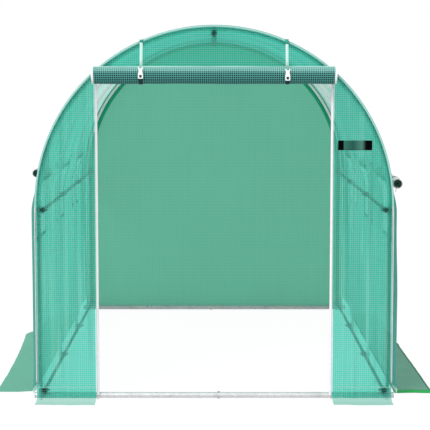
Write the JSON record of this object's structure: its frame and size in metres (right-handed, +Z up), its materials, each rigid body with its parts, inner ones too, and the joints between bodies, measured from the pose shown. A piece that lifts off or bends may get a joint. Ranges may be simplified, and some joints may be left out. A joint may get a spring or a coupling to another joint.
{
  "type": "polytunnel greenhouse",
  "caption": "Walk-in polytunnel greenhouse: arched tube hoops under a translucent green grid film cover, with a rolled-up front door, net side windows and ground skirts.",
  "frame": {"origin": "centre of the footprint, on the ground", "axes": "+X to the right seen from the front, +Y along the tunnel towards the rear, +Z up; the door faces -Y"},
  "size_m": [2.4622, 3.2712, 2.0461],
  "materials": {
    "galvanised_tube": "galvanised",
    "post_tube": "white powder coat",
    "bolt_steel": "zinc plated",
    "hub_plastic": "moulded",
    "plug_plastic": "moulded",
    "cover_film": "translucent grid-woven film",
    "ground_film": "translucent grid-woven film",
    "rolled_film": "rolled grid-woven film",
    "rolled_cover": "rolled grid-woven film",
    "webbing": "woven webbing",
    "tie_webbing": "woven webbing",
    "buckle_plastic": "moulded",
    "window_net": "open net",
    "patch_film": "plain dark patch"
  },
  "bodies": {
    "root": {"front_hoop_legs": "galvanised_tube", "front_hoop_arch": "galvanised_tube", "second_hoop_legs": "galvanised_tube", "second_hoop_arch": "galvanised_tube", "third_hoop_legs": "galvanised_tube", "third_hoop_arch": "galvanised_tube", "rear_hoop_legs": "galvanised_tube", "rear_hoop_arch": "galvanised_tube", "ridge_purlin": "galvanised_tube", "left_purlin": "galvanised_tube", "right_purlin": "galvanised_tube", "left_base_rail": "galvanised_tube", "right_base_rail": "galvanised_tube", "front_base_rail": "galvanised_tube", "rear_base_rail": "galvanised_tube", "base_rail_plugs": "plug_plastic", "door_posts": "post_tube", "purlin_bolts": "bolt_steel", "base_rail_bolts": "bolt_steel", "corner_bolts": "bolt_steel", "splice_bolts": "bolt_steel", "purlin_hubs": "hub_plastic", "base_rail_hubs": "hub_plastic", "left_wall_cover": "cover_film", "right_wall_cover": "cover_film", "left_roof_cover": "cover_film", "right_roof_cover": "cover_film", "front_left_panel": "cover_film", "front_right_panel": "cover_film", "front_top_panel": "cover_film", "rear_panel": "cover_film", "left_skirt": "ground_film", "right_skirt": "ground_film", "front_flaps": "ground_film", "rear_flap": "ground_film", "door_roll": "rolled_film", "door_straps": "webbing", "strap_buckles": "buckle_plastic", "left_window_screens": "window_net", "right_window_screens": "window_net", "left_window_rolls": "rolled_cover", "right_window_rolls": "rolled_cover", "window_ties": "tie_webbing", "front_patch": "patch_film"}
  },
  "joints": []
}
